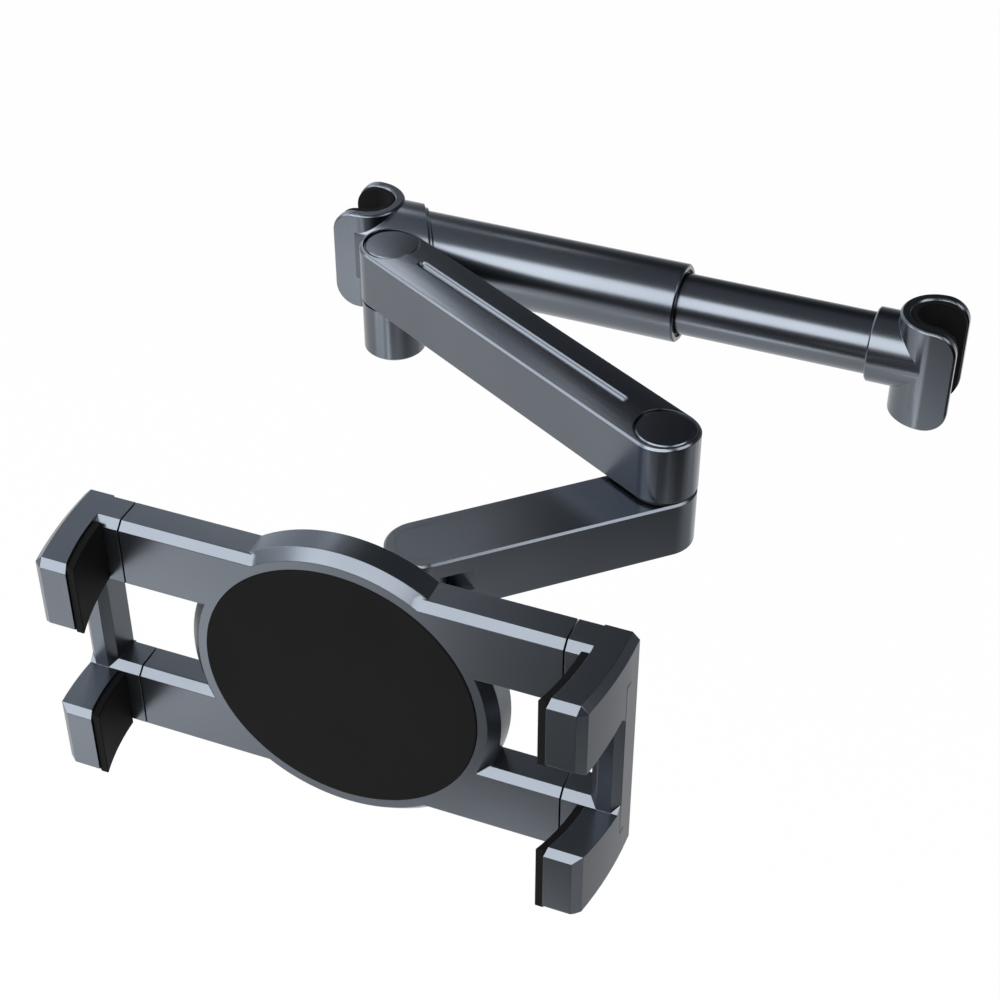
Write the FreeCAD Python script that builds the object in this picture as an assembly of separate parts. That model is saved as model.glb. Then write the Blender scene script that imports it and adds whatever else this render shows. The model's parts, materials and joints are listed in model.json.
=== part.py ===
import FreeCAD, Part
import math
import os

# Tablet mount that hangs between the two posts of a car headrest. A telescoping bar with
# rubber lined hooks sits between the posts, a folding two-part arm turns on its left
# bracket, and a swivel, a tilt joint and a spindle carry a cradle whose two claws are
# drawn together by springs and kept in step by a rack and pinion.
# Millimetres. The origin is on the axis of the left headrest post, level with the bar's
# axis. +X runs along the bar to the right post, +Z is up, -Y points at the passenger.

# Headrest posts and hooks
post_spacing = 175.0
post_diameter = 12.0
post_clearance = 0.15
liner_wall = 1.65
hook_wall = 3.2
hook_top = 14.0
hook_bottom = -18.8
hook_lobe = 7.3
hook_corner = 7.0
hook_rim_chamfer = 0.6
liner_inset = 0.3

# Telescoping bar
outer_tube_radius = 11.7
outer_tube_wall = 1.6
outer_tube_reach = 101.0
inner_tube_radius = 9.05
inner_tube_wall = 1.4
inner_tube_overlap = 39.0
slide_fit = 0.08
bush_length = 9.0
bush_recess = 0.7
slide_sleeve_length = 10.0
spring_seat_depth = 14.0
spring_seat_thickness = 3.0
tube_rim_chamfer = 0.5

# Left bracket and right collar
socket_radius = 13.5
socket_reach = 18.9
socket_slant = 27.4
socket_lip_radius = 12.5
socket_lip_reach = 1.2
tube_seat_wall = 2.0
web_height = 17.5
web_top = 4.0
web_reach = 14.0
collar_radius = 10.85
collar_reach = 17.6
collar_rim = 0.5
collar_tube_depth = 9.0
grub_radius = 2.0
grub_slot_width = 0.8
grub_slot_depth = 0.9
grub_recess = 0.6
bracket_grub_inset = 3.0
collar_grub_inset = 4.0

# Bar spring
bar_spring_radius = 5.6
bar_spring_wire = 1.2
bar_spring_turns = 9
bar_spring_sides = 8
bar_spring_steps = 16

# Folding arms
pivot_a_x = 17.5
pivot_a_y = -22.0
upper_arm_length = 118.0
upper_arm_angle = -29.17
upper_arm_height = 17.85
upper_arm_radius = 9.55
lower_arm_length = 67.0
lower_arm_angle = -137.14
lower_arm_height = 17.0
lower_arm_radius = 9.45
arm_parting_z = -4.34
arm_gap = 0.5
arm_edge_chamfer = 0.6
arm_wall = 2.2
arm_roof = 2.6
arm_hub_reach = 12.5
boss_radius = 9.3
boss_chamfer = 0.8
arm_sweep_clearance = 0.5
upper_arm_swing_in = 28.0
upper_arm_swing_out = -120.0
groove_start = 15.0
groove_end = 101.2
groove_width = 3.0
groove_depth = 0.8
cover_thickness = 1.6
cover_lip = 1.0
cover_pillar_radius = 2.2
cover_clearance = 0.06
cover_screw_inset = 6.0

# Arm pivots
cap_radius = 8.26
cap_clearance = 0.12
cap_thickness = 1.5
cap_sink = 0.1
cap_dome = 0.2
pivot_bolt_radius = 3.0
pivot_head_radius = 5.5
pivot_head_height = 3.0
pivot_head_clearance = 0.4
pivot_running_fit = 0.06
friction_washer_radius = 8.6
friction_washer_thickness = 0.5
spring_washer_radius = 5.0
spring_washer_thickness = 1.2
spring_washer_split = 0.6
nut_across_flats = 10.0
nut_height = 4.0
nut_recess_radius = 7.0
nut_recess_depth = 6.5
bolt_end_proud = 0.6

# Swivel at the end of the lower arm
lower_cover_radius = 6.5
swivel_radius = 7.0
swivel_thickness = 5.8
swivel_slot_gap = 0.2
swivel_side_gap = 0.3
swivel_slot_reach = 11.0
swivel_swing = 55.0
swivel_opening_steps = 4
swivel_pin_radius = 2.5
swivel_pin_head_radius = 4.2
swivel_pin_head_height = 1.5
neck_z = -12.5
neck_width = 8.0
neck_reach = 24.0

# Tilt joint and spindle
tilt_knuckle_radius = 5.2
tilt_bolt_radius = 2.0
tilt_ear_thickness = 4.0
tilt_side_gap = 0.2
tilt_head_radius = 3.6
tilt_head_height = 2.2
tilt_nut_flats = 7.0
tilt_nut_height = 2.4
tilt_offset = 8.6
flange_radius = 12.5
flange_thickness = 3.0
spindle_radius = 5.0
spindle_gap = 0.3
hub_radius = 13.5
hub_height = 3.2
spindle_fit = 0.05
keeper_radius = 7.0
keeper_thickness = 1.0
keeper_clearance = 0.25
spindle_screw_radius = 1.6
spindle_screw_head = 3.4
spindle_screw_head_height = 1.5

# Cradle frame
cradle_depth = 9.55
disc_radius = 40.4
disc_chamfer = 2.5
disc_rim_width = 2.5
frame_chamfer = 2.0
back_chamfer = 0.5
rail_inner_z = 13.4
rail_outer_z = 33.5
rail_reach = 56.06
front_wall = 2.6
side_wall = 2.0
back_cover_thickness = 2.0
back_cover_clearance = 0.12
disc_pad_sink = 1.0
disc_pad_proud = 0.3
screw_boss_radius = 3.0
screw_boss_inset = 10.3
screw_boss_angle = 15.4
cover_screw_radius = 1.1
cover_screw_head = 1.9
cover_screw_head_height = 1.0
cover_screw_length = 5.5

# Claws
claw_gap = 0.35
sleeve_width = 7.1
post_width = 7.5
finger_reach = 18.6
finger_tip_outer = 67.7
finger_tip_inner = 59.0
finger_root_inner = 62.4
finger_bulge = 0.65
finger_flare = 2.4
finger_chamfer = 1.8
finger_pad_thickness = 2.2
finger_pad_margin = 0.5
claw_travel = 45.0
tongue_clearance = 0.15
rack_tongue_spare = 5.0
plain_tongue_reach = 2.0

# Rack and pinion
gear_module = 1.5
pinion_teeth = 24
pressure_angle = 20.0
pinion_thickness = 4.2
pinion_journal_radius = 9.2
pinion_journal_wall = 1.8
pinion_fit = 0.1
gear_backlash = 0.12
gear_root_clearance = 0.25
rack_back_height = 4.0
tongue_split_gap = 0.5

# Claw springs
claw_spring_radius = 2.0
claw_spring_wire = 0.8
claw_spring_post_radius = 1.1
claw_spring_post_inset = 5.0
claw_spring_coils = 18
claw_spring_sides = 8


# Values worked out from the sizes above
liner_bore = post_diameter / 2 + post_clearance
hook_bore = liner_bore + liner_wall
hook_outer = hook_bore + hook_wall
outer_tube_bore = outer_tube_radius - outer_tube_wall
inner_tube_bore = inner_tube_radius - inner_tube_wall
tube_seat_x = hook_outer + tube_seat_wall
inner_tube_start = outer_tube_reach - inner_tube_overlap
spring_seat_x = inner_tube_start + spring_seat_depth
collar_start = post_spacing - collar_reach
inner_tube_end = collar_start + collar_tube_depth
bracket_grub_x = tube_seat_x + bracket_grub_inset
collar_grub_x = collar_start + collar_grub_inset

upper_bottom = arm_parting_z + arm_gap / 2
upper_top = upper_bottom + upper_arm_height
lower_top = arm_parting_z - arm_gap / 2
lower_bottom = lower_top - lower_arm_height
pivot_b_x = pivot_a_x + upper_arm_length * math.cos(math.radians(upper_arm_angle))
pivot_b_y = pivot_a_y + upper_arm_length * math.sin(math.radians(upper_arm_angle))
pivot_c_x = pivot_b_x + lower_arm_length * math.cos(math.radians(lower_arm_angle))
pivot_c_y = pivot_b_y + lower_arm_length * math.sin(math.radians(lower_arm_angle))
cap_seat_z = upper_top - cap_thickness - cap_sink
head_top_z = cap_seat_z - pivot_head_clearance
head_seat_z = head_top_z - pivot_head_height
hub_seat_z = head_seat_z - friction_washer_thickness
nut_seat_z = lower_bottom + nut_recess_depth
pivot_hole = pivot_bolt_radius + pivot_running_fit

tilt_y = pivot_c_y - neck_reach
flange_back_y = tilt_y - tilt_offset
cradle_back_y = flange_back_y - flange_thickness - spindle_gap - hub_height
cradle_front_y = cradle_back_y - cradle_depth
cover_floor = cradle_depth - back_cover_thickness
disc_face_radius = disc_radius - disc_chamfer
disc_pad_radius = disc_face_radius - disc_rim_width
rail_middle_z = (rail_inner_z + rail_outer_z) / 2
claw_outer = rail_reach + sleeve_width + post_width
pinion_radius = gear_module * pinion_teeth / 2
tooth_pitch = math.pi * gear_module
tongue_front = front_wall + tongue_clearance
tongue_back = cover_floor - tongue_clearance
rack_root_z = pinion_radius + gear_module + gear_root_clearance
rack_back_z = rack_root_z + rack_back_height
plain_tongue_z = rack_back_z + tongue_split_gap
tongue_outer_z = rail_outer_z - side_wall - tongue_clearance
spring_line_z = (plain_tongue_z + tongue_outer_z) / 2
spring_line_y = (front_wall + cover_floor) / 2
spring_post_x = rail_reach - claw_spring_post_inset
rack_tongue_reach = claw_travel + rack_tongue_spare

x_axis = FreeCAD.Vector(1, 0, 0)
y_axis = FreeCAD.Vector(0, 1, 0)
z_axis = FreeCAD.Vector(0, 0, 1)
origin = FreeCAD.Vector(0, 0, 0)


def point(x, y, z):
    return FreeCAD.Vector(x, y, z)


def box(x0, x1, y0, y1, z0, z1):
    return Part.makeBox(x1 - x0, y1 - y0, z1 - z0, point(x0, y0, z0))


def rod_x(radius, x0, x1, y=0.0, z=0.0):
    return Part.makeCylinder(radius, x1 - x0, point(x0, y, z), x_axis)


def rod_y(radius, y0, y1, x=0.0, z=0.0):
    return Part.makeCylinder(radius, y1 - y0, point(x, y0, z), y_axis)


def rod_z(radius, z0, z1, x=0.0, y=0.0):
    return Part.makeCylinder(radius, z1 - z0, point(x, y, z0), z_axis)


def ring_x(outer, inner, x0, x1):
    return rod_x(outer, x0, x1).cut(rod_x(inner, x0, x1))


def ring_z(outer, inner, z0, z1, x=0.0, y=0.0):
    return rod_z(outer, z0, z1, x, y).cut(rod_z(inner, z0, z1, x, y))


def fuse(shapes):
    joined = shapes[0].multiFuse(shapes[1:])
    return joined.removeSplitter()


def cut(shape, tools):
    for tool in tools:
        shape = shape.cut(tool)
    return shape


def polygon(points):
    return Part.Face(Part.makePolygon(points + [points[0]]))


def turned(profile, axis_point, axis):
    return polygon(profile).revolve(axis_point, axis, 360)


def turned_x(pairs, y=0.0, z=0.0):
    """Solid turned about a line along X, from (x, radius) pairs."""
    return turned([point(x, y, z + radius) for x, radius in pairs], point(0, y, z), x_axis)


def turned_y(pairs, x=0.0, z=0.0):
    """Solid turned about a line along Y, from (y, radius) pairs."""
    return turned([point(x + radius, y, z) for y, radius in pairs], point(x, 0, z), y_axis)


def turned_z(pairs, x=0.0, y=0.0):
    """Solid turned about a line along Z, from (z, radius) pairs."""
    return turned([point(x + radius, y, z) for z, radius in pairs], point(x, y, 0), z_axis)


def bar_with_round_ends(x0, x1, radius, z0, z1):
    """Straight bar along X whose ends are half circles about x0 and x1."""
    edges = [
        Part.LineSegment(point(x0, -radius, z0), point(x1, -radius, z0)).toShape(),
        Part.Arc(point(x1, -radius, z0), point(x1 + radius, 0, z0), point(x1, radius, z0)).toShape(),
        Part.LineSegment(point(x1, radius, z0), point(x0, radius, z0)).toShape(),
        Part.Arc(point(x0, radius, z0), point(x0 - radius, 0, z0), point(x0, -radius, z0)).toShape(),
    ]
    return Part.Face(Part.Wire(edges)).extrude(point(0, 0, z1 - z0))


def edges_where(shape, test):
    return [edge for edge in shape.Edges if test(edge.BoundBox)]


def flat_at(value, low, high):
    return abs(low - value) < 1e-4 and abs(high - value) < 1e-4


def edges_at_z(shape, z):
    return edges_where(shape, lambda b: flat_at(z, b.ZMin, b.ZMax))


def placed(shape, x, y, angle=0.0, z=0.0):
    moved = shape.copy()
    moved.rotate(origin, z_axis, angle)
    moved.translate(point(x, y, z))
    return moved


def on_cradle(shape):
    """Cradle pieces are drawn about the middle of the front face, Y pointing back."""
    return placed(shape, pivot_c_x, cradle_front_y, 0.0, neck_z)


def half_turn(shape):
    """The same piece turned half round on the cradle's axis."""
    turned_round = shape.copy()
    turned_round.rotate(origin, y_axis, 180)
    return turned_round


def hex_prism_z(across_flats, z0, z1, x, y):
    corner = across_flats / math.sqrt(3)
    corners = []
    for i in range(6):
        angle = math.radians(60 * i)
        corners.append(point(x + corner * math.cos(angle), y + corner * math.sin(angle), z0))
    return polygon(corners).extrude(point(0, 0, z1 - z0))


def hex_prism_x(across_flats, x0, x1, y, z):
    corner = across_flats / math.sqrt(3)
    corners = []
    for i in range(6):
        angle = math.radians(60 * i)
        corners.append(point(x0, y + corner * math.cos(angle), z + corner * math.sin(angle)))
    return polygon(corners).extrude(point(x1 - x0, 0, 0))


# Hooks and bar

def u_section(bore, outer, lobe, bottom, top, corner):
    """Upright U about the post axis, open towards -X, free corners rounded."""
    edges = [
        Part.Arc(point(0, -outer, bottom), point(outer, 0, bottom), point(0, outer, bottom)).toShape(),
        Part.LineSegment(point(0, outer, bottom), point(-lobe, outer, bottom)).toShape(),
        Part.LineSegment(point(-lobe, outer, bottom), point(-lobe, bore, bottom)).toShape(),
        Part.LineSegment(point(-lobe, bore, bottom), point(0, bore, bottom)).toShape(),
        Part.Arc(point(0, bore, bottom), point(bore, 0, bottom), point(0, -bore, bottom)).toShape(),
        Part.LineSegment(point(0, -bore, bottom), point(-lobe, -bore, bottom)).toShape(),
        Part.LineSegment(point(-lobe, -bore, bottom), point(-lobe, -outer, bottom)).toShape(),
        Part.LineSegment(point(-lobe, -outer, bottom), point(0, -outer, bottom)).toShape(),
    ]
    section = Part.Face(Part.Wire(edges)).extrude(point(0, 0, top - bottom))

    def is_free_corner(b):
        at_end = flat_at(top, b.ZMin, b.ZMax) or flat_at(bottom, b.ZMin, b.ZMax)
        return at_end and flat_at(-lobe, b.XMin, b.XMax)

    return section.makeFillet(corner, edges_where(section, is_free_corner))


def hook_shell():
    hook = u_section(hook_bore, hook_outer, hook_lobe, hook_bottom, hook_top, hook_corner)
    rims = edges_at_z(hook, hook_top) + edges_at_z(hook, hook_bottom)
    return hook.makeChamfer(hook_rim_chamfer, rims)


def hook_liner():
    inset = liner_inset
    return u_section(liner_bore, hook_bore, hook_lobe - inset, hook_bottom + inset, hook_top - inset,
                     hook_corner - inset)


def hook_space():
    """Room inside the hook that sockets and collars leave free."""
    inside = rod_z(hook_bore, hook_bottom, hook_top)
    return inside.fuse(box(-hook_lobe, 0, -hook_bore, hook_bore, hook_bottom, hook_top))


def grub_screw(x, socket_edge, tube_edge):
    """Slotted grub screw that points up at the bar from below."""
    screw = rod_z(grub_radius, -socket_edge, -tube_edge, x)
    slot = box(x - grub_radius, x + grub_radius, -grub_slot_width / 2, grub_slot_width / 2,
               -socket_edge, -socket_edge + grub_slot_depth)
    return screw.cut(slot)


def slanted_rod(radius, reach):
    """Rod along the bar's axis whose end is cut at the socket's slant."""
    side = 2 * socket_radius
    shift = side * math.tan(math.radians(socket_slant))
    far = reach + 2 * shift
    beyond = polygon([
        point(reach - shift, side, -socket_radius),
        point(reach + shift, -side, -socket_radius),
        point(far, -side, -socket_radius),
        point(far, side, -socket_radius),
    ]).extrude(point(0, 0, side))
    return rod_x(radius, 0, far).cut(beyond)


def left_bracket():
    socket = slanted_rod(socket_radius, socket_reach)
    lip = slanted_rod(socket_lip_radius, socket_reach + socket_lip_reach)
    web = bar_with_round_ends(0, web_reach, boss_radius, web_top - web_height, web_top)
    web = placed(web, pivot_a_x, pivot_a_y, 90)
    boss = rod_z(boss_radius, lower_bottom, lower_top, pivot_a_x, pivot_a_y)
    boss = boss.makeChamfer(boss_chamfer, edges_at_z(boss, lower_bottom))
    body = fuse([hook_shell(), socket, lip, web, boss])
    sweep = upper_arm_radius + arm_sweep_clearance
    clear_top = upper_top + hook_top
    swept = bar_with_round_ends(0, upper_arm_length, sweep, lower_top, clear_top)
    tools = [
        hook_space(),
        rod_x(outer_tube_radius, tube_seat_x, outer_tube_reach),
        rod_z(sweep, lower_top, clear_top, pivot_a_x, pivot_a_y),
        placed(swept, pivot_a_x, pivot_a_y, upper_arm_angle + upper_arm_swing_in),
        placed(swept, pivot_a_x, pivot_a_y, upper_arm_angle + upper_arm_swing_out),
        rod_z(pivot_hole, lower_bottom, lower_top, pivot_a_x, pivot_a_y),
        rod_z(nut_recess_radius, lower_bottom, nut_seat_z, pivot_a_x, pivot_a_y),
        rod_z(grub_radius, -socket_radius, -outer_tube_radius, bracket_grub_x),
    ]
    return cut(body, tools)


def right_hook():
    hook = placed(hook_shell(), post_spacing, 0, 180)
    collar = turned_x([
        (collar_start, 0),
        (collar_start, collar_radius - collar_rim),
        (collar_start + collar_rim, collar_radius),
        (post_spacing, collar_radius),
        (post_spacing, 0),
    ])
    tools = [
        placed(hook_space(), post_spacing, 0, 180),
        rod_x(inner_tube_radius, collar_start, inner_tube_end),
        rod_z(grub_radius, -collar_radius, -inner_tube_radius, collar_grub_x),
    ]
    return cut(fuse([hook, collar]), tools)


def outer_tube():
    rim = tube_rim_chamfer
    return turned_x([
        (tube_seat_x, outer_tube_bore),
        (tube_seat_x, outer_tube_radius),
        (outer_tube_reach - rim, outer_tube_radius),
        (outer_tube_reach, outer_tube_radius - rim),
        (outer_tube_reach, outer_tube_bore),
    ])


def bar_pieces():
    spring_room = spring_seat_x - tube_seat_x
    bush_end = outer_tube_reach - bush_recess
    return {
        "left_bracket": left_bracket(),
        "left_hook_liner": hook_liner(),
        "bracket_grub_screw": grub_screw(bracket_grub_x, socket_radius - grub_recess, outer_tube_radius),
        "outer_tube": outer_tube(),
        "tube_end_bush": ring_x(outer_tube_bore, inner_tube_radius + slide_fit,
                                bush_end - bush_length, bush_end),
        "bar_spring": bar_spring(tube_seat_x, spring_room),
        "inner_tube": ring_x(inner_tube_radius, inner_tube_bore, inner_tube_start, inner_tube_end),
        "slide_sleeve": ring_x(outer_tube_bore - slide_fit, inner_tube_radius,
                               inner_tube_start, inner_tube_start + slide_sleeve_length),
        "spring_seat": rod_x(inner_tube_bore, spring_seat_x, spring_seat_x + spring_seat_thickness),
        "right_hook": right_hook(),
        "right_hook_liner": placed(hook_liner(), post_spacing, 0, 180),
        "collar_grub_screw": grub_screw(collar_grub_x, collar_radius - grub_recess, inner_tube_radius),
    }


def bar_spring(start_x, room):
    """Compression spring that pushes the two hooks apart, its wire drawn with flat sides."""
    wire = bar_spring_wire / 2
    length = room - bar_spring_wire
    count = bar_spring_turns * bar_spring_steps
    rings = []
    for i in range(count + 1):
        turn = 2 * math.pi * i / bar_spring_steps
        x = start_x + wire + length * i / count
        ring = []
        for k in range(bar_spring_sides):
            around = 2 * math.pi * k / bar_spring_sides
            out = bar_spring_radius + wire * math.cos(around)
            ring.append(point(x + wire * math.sin(around), out * math.cos(turn), out * math.sin(turn)))
        rings.append(ring)
    faces = [polygon(rings[0]), polygon(rings[-1])]
    for ring, following in zip(rings, rings[1:]):
        for k in range(bar_spring_sides):
            n = (k + 1) % bar_spring_sides
            faces.append(polygon([ring[k], ring[n], following[n]]))
            faces.append(polygon([ring[k], following[n], following[k]]))
    return Part.Solid(Part.Shell(faces))


# Folding arms

def pivot_bolt(x, y):
    end = nut_seat_z - spring_washer_thickness - nut_height - bolt_end_proud
    return turned_z([
        (head_top_z, 0),
        (head_top_z, pivot_head_radius),
        (head_seat_z, pivot_head_radius),
        (head_seat_z, pivot_bolt_radius),
        (end, pivot_bolt_radius),
        (end, 0),
    ], x, y)


def pivot_nut(x, y):
    top = nut_seat_z - spring_washer_thickness
    nut = hex_prism_z(nut_across_flats, top - nut_height, top, x, y)
    return nut.cut(rod_z(pivot_bolt_radius, top - nut_height, top, x, y))


def spring_washer(x, y):
    bottom = nut_seat_z - spring_washer_thickness
    washer = ring_z(spring_washer_radius, pivot_bolt_radius, bottom, nut_seat_z, x, y)
    split = box(x, x + spring_washer_radius, y, y + spring_washer_split, bottom, nut_seat_z)
    return washer.cut(split)


def friction_washers(x, y):
    """One washer under the bolt's head and one between the two arms."""
    upper = ring_z(pivot_head_radius, pivot_hole, hub_seat_z, head_seat_z, x, y)
    lower = ring_z(friction_washer_radius, pivot_hole, lower_top, upper_bottom, x, y)
    return Part.makeCompound([upper, lower])


def pivot_hardware(letter, x, y):
    return {
        "pivot_bolt_" + letter: pivot_bolt(x, y),
        "pivot_nut_" + letter: pivot_nut(x, y),
        "spring_washer_" + letter: spring_washer(x, y),
        "friction_washers_" + letter: friction_washers(x, y),
    }


def pivot_cap(x, y):
    """Round cap that hides a pivot, its face slightly domed."""
    flat = upper_top - cap_sink - cap_dome
    face = upper_top - cap_sink
    return turned_z([
        (cap_seat_z, 0),
        (cap_seat_z, cap_radius),
        (flat - cap_dome, cap_radius),
        (flat, cap_radius - cap_dome),
        (face, cap_radius / 2),
        (face, 0),
    ], x, y)


def groove_tool():
    """Ball-nosed cutter's path along the middle of the upper arm."""
    radius = groove_depth / 2 + groove_width ** 2 / (8 * groove_depth)
    z = upper_top - groove_depth + radius
    path = rod_x(radius, groove_start, groove_end, 0, z)
    start = Part.makeSphere(radius, point(groove_start, 0, z))
    end = Part.makeSphere(radius, point(groove_end, 0, z))
    return path.fuse(start).fuse(end)


def upper_arm():
    body = bar_with_round_ends(0, upper_arm_length, upper_arm_radius, upper_bottom, upper_top)
    body = body.makeChamfer(arm_edge_chamfer, edges_at_z(body, upper_top) + edges_at_z(body, upper_bottom))
    pocket_start = arm_hub_reach + cover_lip
    pocket_end = upper_arm_length - arm_hub_reach - cover_lip
    pocket_half = upper_arm_radius - arm_wall - cover_lip
    tools = [
        groove_tool(),
        upper_cover_blank(0.0),
        box(pocket_start, pocket_end, -pocket_half, pocket_half, upper_bottom, upper_top - arm_roof),
    ]
    for x in (0.0, upper_arm_length):
        tools.append(rod_z(cap_radius + cap_clearance, cap_seat_z, upper_top, x))
        tools.append(rod_z(pivot_head_radius + pivot_head_clearance, hub_seat_z, cap_seat_z, x))
        tools.append(rod_z(pivot_hole, upper_bottom, hub_seat_z, x))
    return cut(body, tools + upper_cover_screw_holes())


def upper_cover_blank(gap):
    half = upper_arm_radius - arm_wall - gap
    return box(arm_hub_reach + gap, upper_arm_length - arm_hub_reach - gap, -half, half,
               upper_bottom, upper_bottom + cover_thickness)


def upper_cover_screw_places():
    return [arm_hub_reach + cover_screw_inset, upper_arm_length - arm_hub_reach - cover_screw_inset]


def upper_cover_screw_holes():
    end = upper_bottom + cover_screw_length
    return [rod_z(cover_screw_radius, upper_bottom, end, x) for x in upper_cover_screw_places()]


def upper_arm_cover():
    cover = upper_cover_blank(cover_clearance)
    for x in upper_cover_screw_places():
        cover = cover.cut(rod_z(cover_screw_radius, upper_bottom, upper_bottom + cover_thickness, x))
        cover = cover.cut(rod_z(cover_screw_head, upper_bottom, upper_bottom + cover_screw_head_height, x))
    return cover


def upper_cover_screws():
    screws = []
    for x in upper_cover_screw_places():
        head = rod_z(cover_screw_head, upper_bottom, upper_bottom + cover_screw_head_height, x)
        shank = rod_z(cover_screw_radius, upper_bottom, upper_bottom + cover_screw_length, x)
        screws.append(head.fuse(shank))
    return Part.makeCompound(screws)


def upper_cover_pillars():
    """Pillars inside the upper arm that take the cover's screws."""
    return [rod_z(cover_pillar_radius, upper_bottom + cover_thickness, upper_top - arm_roof, x)
            for x in upper_cover_screw_places()]


def lower_cover_blank(gap):
    """Cover plate outline: round about the swivel, straight near the elbow."""
    radius = lower_cover_radius - gap
    start = arm_hub_reach + gap
    plate = bar_with_round_ends(start, lower_arm_length, radius, lower_top - cover_thickness, lower_top)
    return plate.cut(box(start - 2 * radius, start, -radius, radius, lower_top - cover_thickness, lower_top))


def swivel_opening():
    """Slot in the front of the lower arm's end through which the neck swings."""
    half = swivel_thickness / 2 + swivel_slot_gap
    neck_angle = -90 - lower_arm_angle
    side_point = math.degrees(math.atan2(lower_arm_radius, -swivel_slot_reach))
    neck_side = math.degrees(math.asin((neck_width / 2 + swivel_side_gap) / swivel_radius))
    swing_edge = neck_angle - swivel_swing - neck_side
    reach = 2 * lower_arm_radius
    steps = swivel_opening_steps
    corners = [point(lower_arm_length, 0, neck_z - half)]
    for i in range(steps + 1):
        angle = math.radians(swing_edge + (side_point - swing_edge) * i / steps)
        x = lower_arm_length + reach * math.cos(angle)
        corners.append(point(x, reach * math.sin(angle), neck_z - half))
    sector = polygon(corners).extrude(point(0, 0, 2 * half))
    room = rod_z(swivel_radius + swivel_side_gap, neck_z - half, neck_z + half, lower_arm_length)
    return sector.fuse(room)


def lower_arm():
    body = bar_with_round_ends(0, lower_arm_length, lower_arm_radius, lower_bottom, lower_top)
    body = body.makeChamfer(arm_edge_chamfer, edges_at_z(body, lower_top) + edges_at_z(body, lower_bottom))
    pocket_half = lower_cover_radius - cover_lip
    pocket_start = arm_hub_reach + cover_lip
    pocket_end = lower_arm_length - swivel_radius - 2 * arm_wall
    pin_head_z = lower_top - cover_thickness - swivel_pin_head_height
    tools = [
        lower_cover_blank(0.0),
        box(pocket_start, pocket_end, -pocket_half, pocket_half, lower_bottom + arm_wall, lower_top),
        swivel_opening(),
        rod_z(swivel_pin_head_radius, pin_head_z, lower_top - cover_thickness, lower_arm_length),
        rod_z(swivel_pin_radius, lower_bottom + arm_wall, pin_head_z, lower_arm_length),
        rod_z(pivot_hole, lower_bottom, lower_top),
        rod_z(nut_recess_radius, lower_bottom, nut_seat_z),
    ]
    return cut(body, tools)


def swivel_pin():
    head_top = lower_top - cover_thickness
    head_bottom = head_top - swivel_pin_head_height
    return turned_z([
        (head_top, 0),
        (head_top, swivel_pin_head_radius),
        (head_bottom, swivel_pin_head_radius),
        (head_bottom, swivel_pin_radius),
        (lower_bottom + arm_wall, swivel_pin_radius),
        (lower_bottom + arm_wall, 0),
    ], lower_arm_length)


def arm_pieces():
    arm = upper_arm().fuse(Part.makeCompound(upper_cover_pillars())).removeSplitter()
    arm = cut(arm, upper_cover_screw_holes())
    pieces = {}
    on_upper_arm = {
        "upper_arm": arm,
        "upper_arm_cover": upper_arm_cover(),
        "upper_cover_screws": upper_cover_screws(),
    }
    for name, shape in on_upper_arm.items():
        pieces[name] = placed(shape, pivot_a_x, pivot_a_y, upper_arm_angle)
    pieces["pivot_cap_a"] = pivot_cap(pivot_a_x, pivot_a_y)
    pieces["pivot_cap_b"] = pivot_cap(pivot_b_x, pivot_b_y)
    on_lower_arm = {
        "lower_arm": lower_arm(),
        "lower_arm_cover": lower_cover_blank(cover_clearance),
        "swivel_pin": swivel_pin(),
    }
    for name, shape in on_lower_arm.items():
        pieces[name] = placed(shape, pivot_b_x, pivot_b_y, lower_arm_angle)
    pieces.update(pivot_hardware("a", pivot_a_x, pivot_a_y))
    pieces.update(pivot_hardware("b", pivot_b_x, pivot_b_y))
    return pieces


# Swivel neck and tilt head, drawn about the middle of the cradle's axis

def swivel_neck():
    x = pivot_c_x
    half = swivel_thickness / 2
    side = neck_width / 2
    eye = rod_z(swivel_radius, neck_z - half, neck_z + half, x, pivot_c_y)
    bar = box(x - side, x + side, tilt_y, pivot_c_y, neck_z - half, neck_z + half)
    knuckle = rod_x(tilt_knuckle_radius, x - side, x + side, tilt_y, neck_z)
    tools = [
        rod_z(swivel_pin_radius + pivot_running_fit, neck_z - half, neck_z + half, x, pivot_c_y),
        rod_x(tilt_bolt_radius + pivot_running_fit, x - side, x + side, tilt_y, neck_z),
    ]
    return cut(fuse([eye, bar, knuckle]), tools)


def tilt_ear(x0, x1):
    ear = rod_x(tilt_knuckle_radius, x0, x1, tilt_y, neck_z)
    root = box(x0, x1, flange_back_y, tilt_y, neck_z - tilt_knuckle_radius, neck_z + tilt_knuckle_radius)
    return ear.fuse(root)


def tilt_head():
    """Fork for the neck's knuckle, flange and spindle, cast in one."""
    x = pivot_c_x
    inner = neck_width / 2 + tilt_side_gap
    outer = inner + tilt_ear_thickness
    flange_front = flange_back_y - flange_thickness
    tip = cradle_front_y + cover_floor - keeper_clearance
    turned_part = turned_y([
        (flange_back_y, 0),
        (flange_back_y, flange_radius - arm_edge_chamfer),
        (flange_back_y - arm_edge_chamfer, flange_radius),
        (flange_front, flange_radius),
        (flange_front, spindle_radius),
        (tip, spindle_radius),
        (tip, 0),
    ], x, neck_z)
    body = fuse([turned_part, tilt_ear(x - outer, x - inner), tilt_ear(x + inner, x + outer)])
    tools = [
        rod_x(tilt_bolt_radius, x - outer, x + outer, tilt_y, neck_z),
        rod_y(spindle_screw_radius, tip, flange_front, x, neck_z),
    ]
    return cut(body, tools)


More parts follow.
